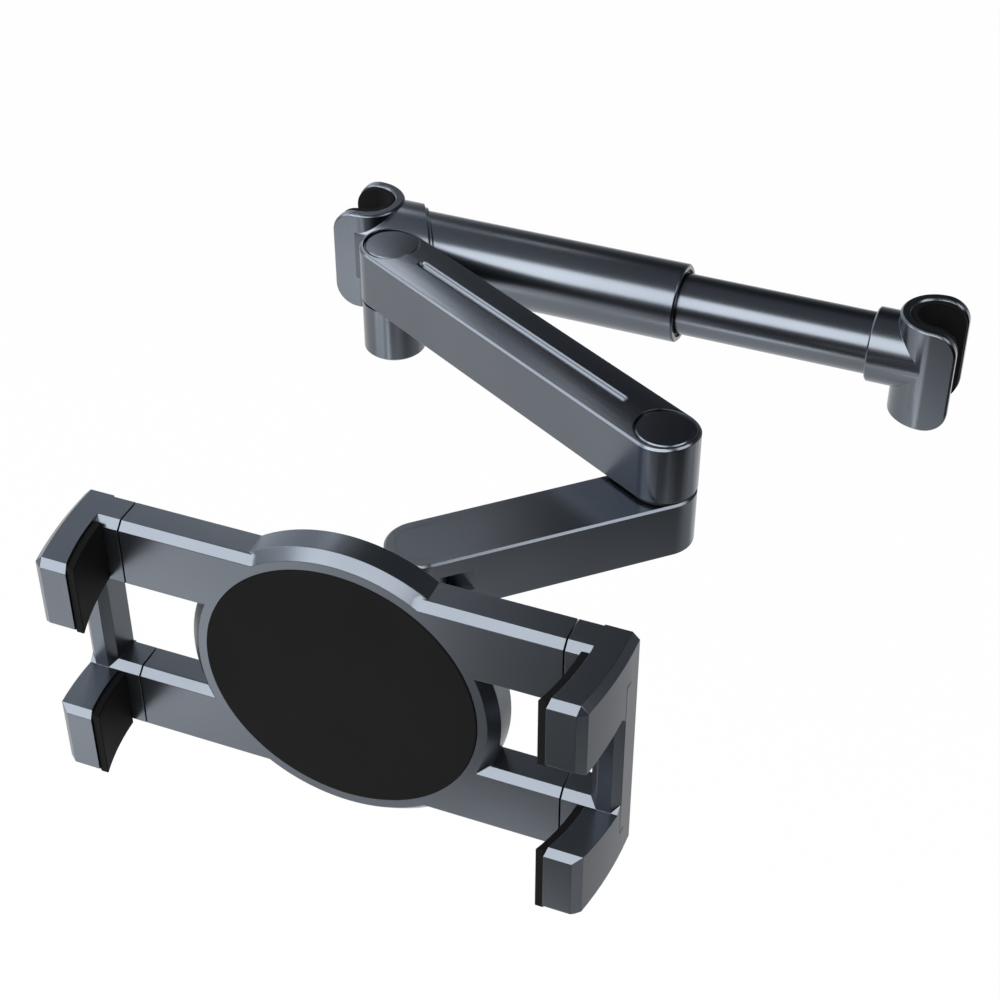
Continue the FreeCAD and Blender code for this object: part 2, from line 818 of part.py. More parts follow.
def tilt_bolt():
    outer = neck_width / 2 + tilt_side_gap + tilt_ear_thickness
    left = pivot_c_x - outer
    right = pivot_c_x + outer
    return turned_x([
        (left - tilt_head_height, 0),
        (left - tilt_head_height, tilt_head_radius - arm_edge_chamfer),
        (left - tilt_head_height + arm_edge_chamfer, tilt_head_radius),
        (left, tilt_head_radius),
        (left, tilt_bolt_radius),
        (right + tilt_nut_height + bolt_end_proud, tilt_bolt_radius),
        (right + tilt_nut_height + bolt_end_proud, 0),
    ], tilt_y, neck_z)


def tilt_nut():
    right = pivot_c_x + neck_width / 2 + tilt_side_gap + tilt_ear_thickness
    nut = hex_prism_x(tilt_nut_flats, right, right + tilt_nut_height, tilt_y, neck_z)
    return nut.cut(rod_x(tilt_bolt_radius, right, right + tilt_nut_height, tilt_y, neck_z))


def spindle_pieces():
    tip = cover_floor - keeper_clearance
    keeper_front = tip - keeper_thickness
    keeper = rod_y(keeper_radius, keeper_front, tip).cut(rod_y(spindle_screw_radius, keeper_front, tip))
    head_front = keeper_front - spindle_screw_head_height
    shank_end = cradle_depth + hub_height + spindle_gap
    screw = rod_y(spindle_screw_head, head_front, keeper_front).fuse(
        rod_y(spindle_screw_radius, keeper_front, shank_end))
    return {"spindle_keeper": on_cradle(keeper), "spindle_screw": on_cradle(screw)}


# Cradle frame, drawn with its front face in the plane Y = 0 and Y pointing back

def rail_bar(x0, x1):
    """One rail of the frame with long chamfers on its front edges."""
    front = frame_chamfer
    back = back_chamfer
    corners = [
        (front, rail_inner_z),
        (0, rail_inner_z + front),
        (0, rail_outer_z - front),
        (front, rail_outer_z),
        (cradle_depth - back, rail_outer_z),
        (cradle_depth, rail_outer_z - back),
        (cradle_depth, rail_inner_z + back),
        (cradle_depth - back, rail_inner_z),
    ]
    return polygon([point(x0, y, z) for y, z in corners]).extrude(point(x1 - x0, 0, 0))


def cavity(gap, y0, y1):
    """Room inside the disc and the two rails, smaller all round by the gap."""
    disc = rod_y(disc_radius - side_wall - gap, y0, y1)
    inner = rail_inner_z + side_wall + gap
    outer = rail_outer_z - side_wall - gap
    upper = box(-rail_reach, rail_reach, y0, y1, inner, outer)
    lower = box(-rail_reach, rail_reach, y0, y1, -outer, -inner)
    return fuse([disc, upper, lower])


def boss_places():
    """Four bosses between the rails, set in from the disc's rim."""
    reach = disc_radius - screw_boss_inset
    x = reach * math.cos(math.radians(screw_boss_angle))
    z = reach * math.sin(math.radians(screw_boss_angle))
    return [(-x, -z), (-x, z), (x, -z), (x, z)]


def cradle_front():
    disc = turned_y([
        (0, 0),
        (0, disc_face_radius),
        (disc_chamfer, disc_radius),
        (cradle_depth - back_chamfer, disc_radius),
        (cradle_depth, disc_radius - back_chamfer),
        (cradle_depth, 0),
    ])
    upper = rail_bar(-rail_reach, rail_reach)
    shell = fuse([disc, upper, half_turn(upper)])
    shell = shell.cut(cavity(0.0, front_wall, cradle_depth))
    shell = shell.cut(rod_y(disc_pad_radius, 0, disc_pad_sink))
    room = cavity(0.0, front_wall, cover_floor)
    bosses = [rod_y(screw_boss_radius, front_wall, cover_floor, x, z).common(room) for x, z in boss_places()]
    journal_end = front_wall + tongue_clearance * 2 + pinion_thickness
    journal = rod_y(pinion_journal_radius, front_wall, journal_end)
    journal = journal.cut(rod_y(pinion_journal_radius - pinion_journal_wall, front_wall, journal_end))
    pin_end = cover_floor - tongue_clearance
    left_pin = rod_y(claw_spring_post_radius, front_wall, pin_end, -spring_post_x, spring_line_z)
    right_pin = rod_y(claw_spring_post_radius, front_wall, pin_end, spring_post_x, -spring_line_z)
    shell = fuse([shell, journal, left_pin, right_pin] + bosses)
    hole_start = cradle_depth - cover_screw_length
    holes = [rod_y(cover_screw_radius, hole_start, cover_floor, x, z) for x, z in boss_places()]
    return cut(shell, holes)


def cradle_back():
    plate = cavity(back_cover_clearance, cover_floor, cradle_depth)
    hub = turned_y([
        (cover_floor, 0),
        (cover_floor, hub_radius),
        (cradle_depth + hub_height - back_chamfer, hub_radius),
        (cradle_depth + hub_height, hub_radius - back_chamfer),
        (cradle_depth + hub_height, 0),
    ])
    cover = fuse([plate, hub])
    tools = [rod_y(spindle_radius + spindle_fit, cover_floor, cradle_depth + hub_height)]
    for x, z in boss_places():
        tools.append(rod_y(cover_screw_radius, cover_floor, cradle_depth, x, z))
        tools.append(rod_y(cover_screw_head, cradle_depth - cover_screw_head_height, cradle_depth, x, z))
    return cut(cover, tools)


def cradle_screws():
    screws = []
    for x, z in boss_places():
        head = rod_y(cover_screw_head, cradle_depth - cover_screw_head_height, cradle_depth, x, z)
        shank = rod_y(cover_screw_radius, cradle_depth - cover_screw_length, cradle_depth, x, z)
        screws.append(head.fuse(shank))
    return Part.makeCompound(screws)


def disc_pad():
    edge = disc_pad_proud
    return turned_y([
        (-disc_pad_proud, 0),
        (-disc_pad_proud, disc_pad_radius - edge),
        (0, disc_pad_radius),
        (disc_pad_sink, disc_pad_radius),
        (disc_pad_sink, 0),
    ])


# Claws. One moulding serves both sides: the left one is the right one turned half round.

def claw_profile():
    """Outline of a finger with its root, seen from above."""
    side_start = cradle_depth / 2
    tip = -finger_reach
    middle = (side_start + tip) / 2
    outer_middle = (claw_outer + finger_tip_outer) / 2 + finger_bulge
    inner_middle = (finger_root_inner + finger_tip_inner) / 2 + finger_bulge
    z = rail_outer_z
    back_outer = point(claw_outer, cradle_depth, z)
    side_outer = point(claw_outer, side_start, z)
    tip_outer = point(finger_tip_outer, tip, z)
    tip_inner = point(finger_tip_inner, tip, z)
    root_inner = point(finger_root_inner, 0, z)
    back_inner = point(finger_root_inner, cradle_depth, z)
    edges = [
        Part.LineSegment(back_outer, side_outer).toShape(),
        Part.Arc(side_outer, point(outer_middle, middle, z), tip_outer).toShape(),
        Part.LineSegment(tip_outer, tip_inner).toShape(),
        Part.Arc(tip_inner, point(inner_middle, tip / 2, z), root_inner).toShape(),
        Part.LineSegment(root_inner, back_inner).toShape(),
        Part.LineSegment(back_inner, back_outer).toShape(),
    ]
    return Part.Face(Part.Wire(edges))


def below_finger():
    """Everything under the finger's flared inner side."""
    low = rail_inner_z + frame_chamfer
    far = 2 * claw_outer
    corners = [
        point(0, cradle_depth, rail_inner_z),
        point(0, frame_chamfer, rail_inner_z),
        point(0, 0, low),
        point(0, -finger_reach, low - finger_flare),
        point(0, -2 * finger_reach, low - 2 * finger_flare),
        point(0, -2 * finger_reach, -far),
        point(0, cradle_depth, -far),
    ]
    return polygon(corners).extrude(point(far, 0, 0))


def finger():
    solid = claw_profile().extrude(point(0, 0, -(rail_outer_z - rail_inner_z + finger_flare)))
    solid = solid.cut(below_finger())
    tip = -finger_reach

    def is_rim(b):
        on_top = flat_at(rail_outer_z, b.ZMin, b.ZMax)
        on_tip = flat_at(tip, b.YMin, b.YMax)
        outer_side = b.XMin > finger_tip_outer - 0.01
        return (on_top and (outer_side or on_tip)) or (on_tip and b.XMax > finger_tip_outer - 0.01)

    return solid.makeChamfer(finger_chamfer, edges_where(solid, is_rim))


def tongue(x0, x1, z0, z1):
    return box(x0, x1, tongue_front, tongue_back, z0, z1)


def rack_tongue():
    """Lower tongue of the right claw, toothed along the edge that faces the pinion."""
    end = rail_reach + sleeve_width
    back = tongue(-rack_tongue_reach, end, -rack_back_z, -rack_root_z)
    tip_z = -(pinion_radius - gear_module)
    slope = math.tan(math.radians(pressure_angle))
    half_pitch = tooth_pitch / 4 - gear_backlash / 2
    root_half = half_pitch + (rack_root_z - pinion_radius) * slope
    tip_half = half_pitch - gear_module * slope
    teeth = []
    count = int((rack_tongue_reach - tooth_pitch / 2) / tooth_pitch)
    for i in range(-count, 2):
        x = (i - 0.5) * tooth_pitch
        teeth.append(polygon([
            point(x - root_half, tongue_front, -rack_root_z),
            point(x + root_half, tongue_front, -rack_root_z),
            point(x + tip_half, tongue_front, tip_z),
            point(x - tip_half, tongue_front, tip_z),
        ]).extrude(point(0, tongue_back - tongue_front, 0)))
    return fuse([back] + teeth)


def right_claw():
    end = rail_reach + sleeve_width
    upper_finger = finger()
    sleeve = rail_bar(rail_reach + claw_gap, end)
    lower_sleeve = sleeve.mirror(origin, z_axis)
    lower_finger = upper_finger.mirror(origin, z_axis)
    post = polygon([
        point(end, frame_chamfer, 0),
        point(end + frame_chamfer, 0, 0),
        point(claw_outer - frame_chamfer, 0, 0),
        point(claw_outer, frame_chamfer, 0),
        point(claw_outer, cradle_depth, 0),
        point(end, cradle_depth, 0),
    ]).extrude(point(0, 0, 2 * rail_middle_z))
    post.translate(point(0, 0, -rail_middle_z))
    plain = tongue(-plain_tongue_reach, end, plain_tongue_z, tongue_outer_z)
    return fuse([upper_finger, lower_finger, sleeve, lower_sleeve, post, plain, rack_tongue()])


def finger_pad():
    """Rubber strip on the inner side of the right claw's upper finger."""
    tip = -finger_reach + finger_pad_margin
    middle_bulge = finger_bulge
    z = rail_outer_z - finger_pad_margin
    slope = (finger_root_inner - finger_tip_inner) / finger_reach
    metal_tip = finger_tip_inner + slope * finger_pad_margin
    metal_middle = (finger_root_inner + metal_tip) / 2 + middle_bulge
    thick = finger_pad_thickness
    root_metal = point(finger_root_inner, 0, z)
    tip_metal = point(metal_tip, tip, z)
    root_face = point(finger_root_inner - thick, 0, z)
    tip_face = point(metal_tip - thick, tip, z)
    edges = [
        Part.Arc(root_metal, point(metal_middle, tip / 2, z), tip_metal).toShape(),
        Part.LineSegment(tip_metal, tip_face).toShape(),
        Part.Arc(tip_face, point(metal_middle - thick, tip / 2, z), root_face).toShape(),
        Part.LineSegment(root_face, root_metal).toShape(),
    ]
    strip = Part.Face(Part.Wire(edges)).extrude(point(0, 0, -(rail_outer_z - rail_inner_z + finger_flare)))
    under = below_finger()
    under.translate(point(0, 0, finger_pad_margin))
    return strip.cut(under).cut(finger())


def pinion_tooth_half(radius):
    """Half width of an involute tooth at a radius, eased by half the backlash."""
    pressure = math.radians(pressure_angle)
    base = pinion_radius * math.cos(pressure)
    reach = math.acos(base / max(radius, base))
    angle = math.pi / (2 * pinion_teeth) + math.tan(pressure) - pressure - math.tan(reach) + reach
    return radius * math.sin(angle) - gear_backlash / 2


def pinion():
    """Spur wheel that keeps the two claws in step."""
    outer = pinion_radius + gear_module
    root = pinion_radius - gear_module - gear_root_clearance
    y0 = front_wall + tongue_clearance
    radii = [root - gear_root_clearance, root + gear_root_clearance, pinion_radius,
             (pinion_radius + outer) / 2, outer]
    right = [point(pinion_tooth_half(radius), y0, radius) for radius in radii]
    left = [point(-corner.x, y0, corner.z) for corner in reversed(right)]
    tooth = polygon(right + left).extrude(point(0, pinion_thickness, 0))
    teeth = []
    for i in range(pinion_teeth):
        copy = tooth.copy()
        copy.rotate(origin, y_axis, 360.0 * i / pinion_teeth)
        teeth.append(copy)
    wheel = fuse([rod_y(root, y0, y0 + pinion_thickness)] + teeth)
    return wheel.cut(rod_y(pinion_journal_radius + pinion_fit, y0, y0 + pinion_thickness))


def claw_spring():
    """Closely wound tension spring from the left of the upper rail to the right claw."""
    start = -spring_post_x
    end = -plain_tongue_reach
    valley = claw_spring_radius - claw_spring_wire / 2
    body_start = start + claw_spring_post_radius + claw_spring_wire / 2
    coil = (end - body_start) / claw_spring_coils
    stations = [(body_start, valley)]
    for i in range(claw_spring_coils):
        stations.append((body_start + (i + 0.5) * coil, claw_spring_radius))
        stations.append((body_start + (i + 1) * coil, valley))
    rings = []
    for x, radius in stations:
        ring = []
        for k in range(claw_spring_sides):
            around = 2 * math.pi * k / claw_spring_sides
            y = spring_line_y + radius * math.cos(around)
            ring.append(point(x, y, spring_line_z + radius * math.sin(around)))
        rings.append(ring)
    faces = [polygon(rings[0]), polygon(rings[-1])]
    for ring, following in zip(rings, rings[1:]):
        for k in range(claw_spring_sides):
            n = (k + 1) % claw_spring_sides
            faces.append(polygon([ring[k], ring[n], following[n], following[k]]))
    body = Part.Solid(Part.Shell(faces))
    front = spring_line_y - claw_spring_wire / 2
    back = spring_line_y + claw_spring_wire / 2
    eye = rod_y(claw_spring_post_radius + claw_spring_wire, front, back, start, spring_line_z)
    eye = eye.cut(rod_y(claw_spring_post_radius, front, back, start, spring_line_z))
    return body.fuse(eye)


def cradle_pieces():
    claw = right_claw()
    pad = finger_pad()
    spring = claw_spring()
    pieces = {
        "cradle_front": cradle_front(),
        "cradle_back": cradle_back(),
        "cradle_screws": cradle_screws(),
        "disc_pad": disc_pad(),
        "right_claw": claw,
        "left_claw": half_turn(claw),
        "right_upper_pad": pad,
        "right_lower_pad": pad.mirror(origin, z_axis),
        "left_lower_pad": half_turn(pad),
        "left_upper_pad": half_turn(pad.mirror(origin, z_axis)),
        "pinion": pinion(),
        "right_claw_spring": spring,
        "left_claw_spring": half_turn(spring),
    }
    return {name: on_cradle(shape) for name, shape in pieces.items()}


def all_pieces():
    pieces = bar_pieces()
    pieces.update(arm_pieces())
    pieces["swivel_neck"] = swivel_neck()
    pieces["tilt_head"] = tilt_head()
    pieces["tilt_bolt"] = tilt_bolt()
    pieces["tilt_nut"] = tilt_nut()
    pieces.update(spindle_pieces())
    pieces.update(cradle_pieces())
    return pieces


os.makedirs("parts", exist_ok=True)
for name, shape in sorted(all_pieces().items()):
    shape.exportStep("parts/" + name + ".step")
    print(name, "solids", len(shape.Solids), "volume", round(shape.Volume, 1), "valid", shape.isValid())
print("axes", round(pivot_b_x, 3), round(pivot_b_y, 3), round(pivot_c_x, 3), round(pivot_c_y, 3),
      "tilt y", round(tilt_y, 3), "cradle front y", round(cradle_front_y, 3))
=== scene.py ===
import bpy
import bmesh
import json
import math
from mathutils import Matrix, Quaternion, Vector
from mathutils.bvhtree import BVHTree

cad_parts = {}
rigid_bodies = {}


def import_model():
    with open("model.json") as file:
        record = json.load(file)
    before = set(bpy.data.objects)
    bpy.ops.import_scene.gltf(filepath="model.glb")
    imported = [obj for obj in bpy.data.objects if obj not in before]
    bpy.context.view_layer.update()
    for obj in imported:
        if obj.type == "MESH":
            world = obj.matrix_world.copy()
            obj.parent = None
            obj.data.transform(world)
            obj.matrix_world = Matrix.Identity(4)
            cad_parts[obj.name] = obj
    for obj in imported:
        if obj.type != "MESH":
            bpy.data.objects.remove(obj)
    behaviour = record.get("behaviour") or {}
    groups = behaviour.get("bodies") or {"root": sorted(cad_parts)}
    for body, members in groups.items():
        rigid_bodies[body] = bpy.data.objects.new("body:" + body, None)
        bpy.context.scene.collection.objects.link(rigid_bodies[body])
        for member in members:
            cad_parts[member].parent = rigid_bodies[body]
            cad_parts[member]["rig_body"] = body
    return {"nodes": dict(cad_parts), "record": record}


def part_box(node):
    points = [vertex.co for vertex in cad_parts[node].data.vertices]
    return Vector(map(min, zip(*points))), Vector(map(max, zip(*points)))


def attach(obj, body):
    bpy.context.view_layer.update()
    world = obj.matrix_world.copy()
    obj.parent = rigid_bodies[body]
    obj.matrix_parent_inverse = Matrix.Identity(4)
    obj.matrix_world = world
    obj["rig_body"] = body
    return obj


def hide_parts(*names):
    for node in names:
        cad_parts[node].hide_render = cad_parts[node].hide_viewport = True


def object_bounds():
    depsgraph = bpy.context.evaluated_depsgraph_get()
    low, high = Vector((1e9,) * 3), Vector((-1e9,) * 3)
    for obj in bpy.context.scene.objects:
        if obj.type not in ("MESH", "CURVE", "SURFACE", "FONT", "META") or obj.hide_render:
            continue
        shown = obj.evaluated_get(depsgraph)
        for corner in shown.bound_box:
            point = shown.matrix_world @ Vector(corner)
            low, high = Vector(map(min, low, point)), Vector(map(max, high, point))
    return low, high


# Headrest tablet mount in gunmetal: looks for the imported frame.
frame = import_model()
cadLow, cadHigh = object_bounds()
nodes = frame["nodes"]
mm = 0.001
print("frame loaded:", len(nodes), "pieces")


def linearColour(hexText):
    # sRGB hex to the linear values that a shader takes
    channels = [int(hexText[i:i + 2], 16) / 255 for i in (1, 3, 5)]
    return [c / 12.92 if c <= 0.04045 else ((c + 0.055) / 1.055) ** 2.4 for c in channels] + [1.0]


def addNode(tree, kind, settings=None, links=None):
    # one shader or geometry node with its settings and what feeds it, a list where a socket takes several
    node = tree.nodes.new(kind)
    for name, value in (settings or {}).items():
        if isinstance(name, int) or name in node.inputs:
            node.inputs[name].default_value = value
        else:
            setattr(node, name, value)
    for name, feeds in (links or {}).items():
        for socket in feeds if isinstance(feeds, list) else [feeds]:
            tree.links.new(socket, node.inputs[name])
    return node


def freshTree(material):
    material.use_nodes = True
    material.node_tree.nodes.clear()
    return material.node_tree


def addObject(name, data):
    thing = bpy.data.objects.new(name, data)
    bpy.context.scene.collection.objects.link(thing)
    return thing


# Camera at the photograph's viewing angle
cameraSettings = {
    "location": (0.2343, -0.47792, 0.3141),
    "pitchDegrees": 51.85,
    "turnDegrees": 21.82,
    "lens": 71.40,
    "sensorWidth": 36,
    "clip": (0.01, 20),
}


def makeCamera(s):
    data = bpy.data.cameras.new("camera")
    data.sensor_width = s["sensorWidth"]
    data.lens = s["lens"]
    data.clip_start, data.clip_end = s["clip"]
    camera = addObject("camera", data)
    camera.location = s["location"]
    camera.rotation_euler = (math.radians(s["pitchDegrees"]), 0, math.radians(s["turnDegrees"]))
    bpy.context.scene.camera = camera


makeCamera(cameraSettings)
print("camera set")


# Pale floor, softboxes and strips of light, and a dark ceiling that the metal mirrors
studio = {
    "floorDrop": 0.30,  # below the object's lowest point, in metres
    "floorSize": 6.0,
    "floorColour": "#f4f4f4",
    "floorGlow": 0.98,  # share of plain white that a camera or mirror ray sees
    "ambientColour": "#c9ccd0",
    "ambientStrength": 0.5,
    "mirrorColour": "#e2e8f0",
    "ceilingStrength": 0.06,
    # light that only mirror rays see, coming in where the ray's share upwards (heights), sideways (sides)
    # or backwards (depths) goes from the first number to the second
    "zenithStrength": 0.2,
    "zenithHeights": (0.75, 0.95),
    "leftWallStrength": 1.0,
    "leftWallSides": (-0.32, -0.48),
    "backWallStrength": 0.35,
    "backWallHeights": (0.55, 0.0),
    "backWallDepths": (0.0, 0.6),
}


def makeFloorMaterial(s):
    material = bpy.data.materials.new("paintedStudioFloor")
    tree = freshTree(material)
    paint = addNode(tree, "ShaderNodeBsdfDiffuse", {"Color": linearColour(s["floorColour"])})
    glow = addNode(tree, "ShaderNodeEmission", {"Color": (1, 1, 1, 1), "Strength": 1.0})
    rays = addNode(tree, "ShaderNodeLightPath")
    mirror = addNode(tree, "ShaderNodeMath", {"operation": "ADD"},
                     {0: rays.outputs["Is Glossy Ray"], 1: rays.outputs["Is Transmission Ray"]})
    seen = addNode(tree, "ShaderNodeMath", {"operation": "ADD", "use_clamp": True},
                   {0: rays.outputs["Is Camera Ray"], 1: mirror.outputs[0]})
    share = addNode(tree, "ShaderNodeMath", {"operation": "MULTIPLY", 1: s["floorGlow"]},
                    {0: seen.outputs[0]})
    mix = addNode(tree, "ShaderNodeMixShader",
                  links={0: share.outputs[0], 1: paint.outputs[0], 2: glow.outputs[0]})
    addNode(tree, "ShaderNodeOutputMaterial", links={"Surface": mix.outputs[0]})
    return material


def makeFloor(s):
    height = cadLow.z - s["floorDrop"]
    half = s["floorSize"] / 2
    mesh = bpy.data.meshes.new("studioFloor")
    corners = [(-half, -half, height), (half, -half, height), (half, half, height), (-half, half, height)]
    mesh.from_pydata(corners, [], [(0, 1, 2, 3)])
    mesh.materials.append(makeFloorMaterial(s))
    addObject("studioFloor", mesh)


def makeWorld(s):
    world = bpy.data.worlds.new("softStudio")
    bpy.context.scene.world = world
    tree = freshTree(world)
    rays = addNode(tree, "ShaderNodeLightPath")
    direction = addNode(tree, "ShaderNodeTexCoord").outputs["Generated"]
    axes = addNode(tree, "ShaderNodeSeparateXYZ", links={0: direction}).outputs
    left = addNode(tree, "ShaderNodeMapRange",
                   {"interpolation_type": "SMOOTHSTEP",
                    "From Min": s["leftWallSides"][0], "From Max": s["leftWallSides"][1],
                    "To Min": s["ceilingStrength"], "To Max": s["ceilingStrength"] + s["leftWallStrength"]},
                   {"Value": axes["X"]})
    low = addNode(tree, "ShaderNodeMapRange",
                  {"interpolation_type": "SMOOTHSTEP", "To Max": s["backWallStrength"],
                   "From Min": s["backWallHeights"][0], "From Max": s["backWallHeights"][1]},
                  {"Value": axes["Z"]})
    back = addNode(tree, "ShaderNodeMapRange",
                   {"From Min": s["backWallDepths"][0], "From Max": s["backWallDepths"][1]},
                   {"Value": axes["Y"]})
    high = addNode(tree, "ShaderNodeMapRange",
                   {"interpolation_type": "SMOOTHSTEP", "To Max": s["zenithStrength"],
                    "From Min": s["zenithHeights"][0], "From Max": s["zenithHeights"][1]},
                   {"Value": axes["Z"]})
    above = addNode(tree, "ShaderNodeMath", {"operation": "ADD"}, {0: left.outputs[0], 1: high.outputs[0]})
    wall = addNode(tree, "ShaderNodeMath", {"operation": "MULTIPLY_ADD"},
                   {0: low.outputs[0], 1: back.outputs[0], 2: above.outputs[0]})
    ambient = addNode(tree, "ShaderNodeBackground",
                      {"Color": linearColour(s["ambientColour"]), "Strength": s["ambientStrength"]})
    mirror = addNode(tree, "ShaderNodeBackground", {"Color": linearColour(s["mirrorColour"])},
                     {"Strength": wall.outputs[0]})
    white = addNode(tree, "ShaderNodeBackground", {"Color": (1, 1, 1, 1), "Strength": 1.0})
    mirrored = addNode(tree, "ShaderNodeMixShader",
                       links={0: rays.outputs["Is Glossy Ray"], 1: ambient.outputs[0], 2: mirror.outputs[0]})
    seen = addNode(tree, "ShaderNodeMath", {"operation": "ADD", "use_clamp": True},
                   {0: rays.outputs["Is Camera Ray"], 1: rays.outputs["Is Transmission Ray"]})
    mix = addNode(tree, "ShaderNodeMixShader",
                  links={0: seen.outputs[0], 1: mirrored.outputs[0], 2: white.outputs[0]})
    addNode(tree, "ShaderNodeOutputWorld", links={"Surface": mix.outputs[0]})


lamps = [
    # place, aim and size in metres, turn about the aim in degrees, power in watts
    {"name": "frontSoftbox", "place": (-0.10, -1.05, 0.80), "aim": (0.05, -0.05, 0.0),
     "size": (1.60, 0.90), "turn": 0, "power": 21.0},
    {"name": "leftSoftbox", "place": (-0.70, -0.25, 0.48), "aim": (0.06, -0.05, 0.0),
     "size": (0.40, 0.40), "turn": 0, "power": 1.3},
    {"name": "rightSoftbox", "place": (0.78, -0.17, 0.58), "aim": (0.12, -0.08, 0.0),
     "size": (0.60, 0.40), "turn": 0, "power": 2.6},
    {"name": "backStrip", "place": (-0.175, 0.25, 0.305), "aim": (0.03, -0.04, 0.01),
     "size": (0.05, 0.10), "turn": -36, "power": 0.07},
    {"name": "upperBackStrip", "place": (-0.085, 0.25, 0.37), "aim": (0.08, -0.07, 0.01),
     "size": (0.04, 0.08), "turn": -36, "power": 0.02},
    {"name": "middleFloorStrip", "place": (0.02, -0.50, -0.345), "aim": (0.02, -0.501, 0.0),
     "size": (0.08, 0.22), "turn": 0, "power": 0.19},
    {"name": "leftFloorStrip", "place": (-0.37, -0.47, -0.345), "aim": (-0.37, -0.471, 0.0),
     "size": (0.12, 0.22), "turn": 0, "power": 0.15},
    {"name": "railFloorStrip", "place": (-0.20, -0.50, -0.345), "aim": (-0.20, -0.501, 0.0),
     "size": (0.14, 0.22), "turn": 0, "power": 0.12},
]


def facing(s):
    return (Vector(s["aim"]) - Vector(s["place"])).to_track_quat("-Z", "Y")


def makeLamp(s):
    data = bpy.data.lights.new(s["name"], "AREA")
    data.shape = "RECTANGLE"
    data.size, data.size_y = s["size"]
    data.energy = s["power"]
    lamp = addObject(s["name"], data)
    lamp.location = s["place"]
    lamp.rotation_euler = (facing(s) @ Quaternion((0, 0, 1), math.radians(s["turn"]))).to_euler()
    lamp.visible_camera = False


# Black and grey cards that only mirror rays see, as a photographer sets them beside metal
cards = [
    # place, aim and size in metres, glow as a share of plain white
    {"name": "rightBlackCard", "place": (0.50, -0.30, -0.10), "aim": (0.05, -0.05, -0.05),
     "size": (0.9, 0.5), "glow": 0.01},
    {"name": "floorGreyCard", "place": (0.36, -0.02, -0.348), "aim": (0.36, -0.021, 0.0),
     "size": (0.46, 0.54), "glow": 0.6},
    {"name": "lowBlackCard", "place": (0.14, -0.34, -0.15), "aim": (0.14, -0.17, -0.01),
     "size": (0.24, 0.12), "glow": 0.01},
]


def makeCardboard(glow):
    material = bpy.data.materials.new("studioCardboard")
    tree = freshTree(material)
    paper = addNode(tree, "ShaderNodeEmission", {"Color": (1, 1, 1, 1), "Strength": glow})
    addNode(tree, "ShaderNodeOutputMaterial", links={"Surface": paper.outputs[0]})
    return material


def makeCard(s):
    x, y = s["size"][0] / 2, s["size"][1] / 2
    mesh = bpy.data.meshes.new(s["name"])
    mesh.from_pydata([(-x, -y, 0), (x, -y, 0), (x, y, 0), (-x, y, 0)], [], [(0, 1, 2, 3)])
    mesh.materials.append(makeCardboard(s["glow"]))
    card = addObject(s["name"], mesh)
    card.location = s["place"]
    card.rotation_euler = facing(s).to_euler()
    card.visible_camera = False
    card.visible_diffuse = False
    card.visible_shadow = False


makeFloor(studio)
makeWorld(studio)
for lamp in lamps:
    makeLamp(lamp)
for card in cards:
    makeCard(card)
bpy.context.scene.view_settings.view_transform = "Standard"
print("studio set")


# Materials, each with its surface's own marks and a slow drift of colour, in millimetres.
# Real blast pits, paint flakes and tool marks are under 0.2 mm across, finer than a pixel of the render,
# so markMm draws them as coarse as it takes to show them.
surfaces = {
    # aluminium castings and tubes, bead blasted and dyed gunmetal in the anodising bath: a satin metal,
    # blue-grey, with long soft highlights and no sparkle
    "beadBlastedAnodisedAluminium": {"darkHex": "#5f646b", "lightHex": "#666b72", "metallic": 1.0,
                                     "roughness": 0.24, "roughSpread": 0.004, "marks": "grit",
                                     "markMm": 0.35, "driftMm": 40.0, "bump": 0.004, "bumpMm": 0.05},
    # moulded ABS sprayed with a metallic gunmetal paint: a little darker and duller than the metal,
    # because the flakes in the paint scatter the light
    "metallicPaintedAbs": {"darkHex": "#5a5f66", "lightHex": "#61666d", "metallic": 0.95,
                           "roughness": 0.30, "roughSpread": 0.006, "marks": "flakes",
                           "markMm": 0.22, "driftMm": 40.0, "bump": 0.012, "bumpMm": 0.04},
    # silicone rubber moulded against a spark-eroded tool: dead matt black, almost without highlights
    "mouldedSiliconeRubber": {"darkHex": "#0b0b0c", "lightHex": "#0e0e0f", "metallic": 0.0,
                              "roughness": 0.7, "roughSpread": 0.06, "marks": "grit", "specular": 0.1,
                              "markMm": 0.4, "driftMm": 25.0, "bump": 0.2, "bumpMm": 0.08},
    # screws and bolts in black oxide: near black with a dull metal sheen
    "blackOxideSteel": {"darkHex": "#232427", "lightHex": "#2b2c30", "metallic": 0.9,
                        "roughness": 0.42, "roughSpread": 0.06, "marks": "grit",
                        "markMm": 0.3, "driftMm": 8.0, "bump": 0.08, "bumpMm": 0.03},
    # pressed and turned steel with a bright zinc-nickel plating: pale silver with soft reflections
    "zincNickelPlatedSteel": {"darkHex": "#85888d", "lightHex": "#94979c", "metallic": 1.0,
                              "roughness": 0.32, "roughSpread": 0.06, "marks": "grit",
                              "markMm": 0.5, "driftMm": 12.0, "bump": 0.06, "bumpMm": 0.03},
    # drawn spring wire with a film of oil: mid grey with a brighter glint along each turn
    "oiledSpringSteel": {"darkHex": "#6f7072", "lightHex": "#7d7e80", "metallic": 1.0,
                         "roughness": 0.28, "roughSpread": 0.04, "marks": "grit",
                         "markMm": 0.4, "driftMm": 6.0, "bump": 0.05, "bumpMm": 0.02},
    # black acetal bushes and wheel, turned on a lathe: a waxy half gloss with faint rings
    "turnedBlackAcetal": {"darkHex": "#161617", "lightHex": "#1d1d1e", "metallic": 0.0,
                          "roughness": 0.45, "roughSpread": 0.05, "marks": "rings",
                          "markMm": 1.57, "driftMm": 10.0, "bump": 0.08, "bumpMm": 0.03},
}
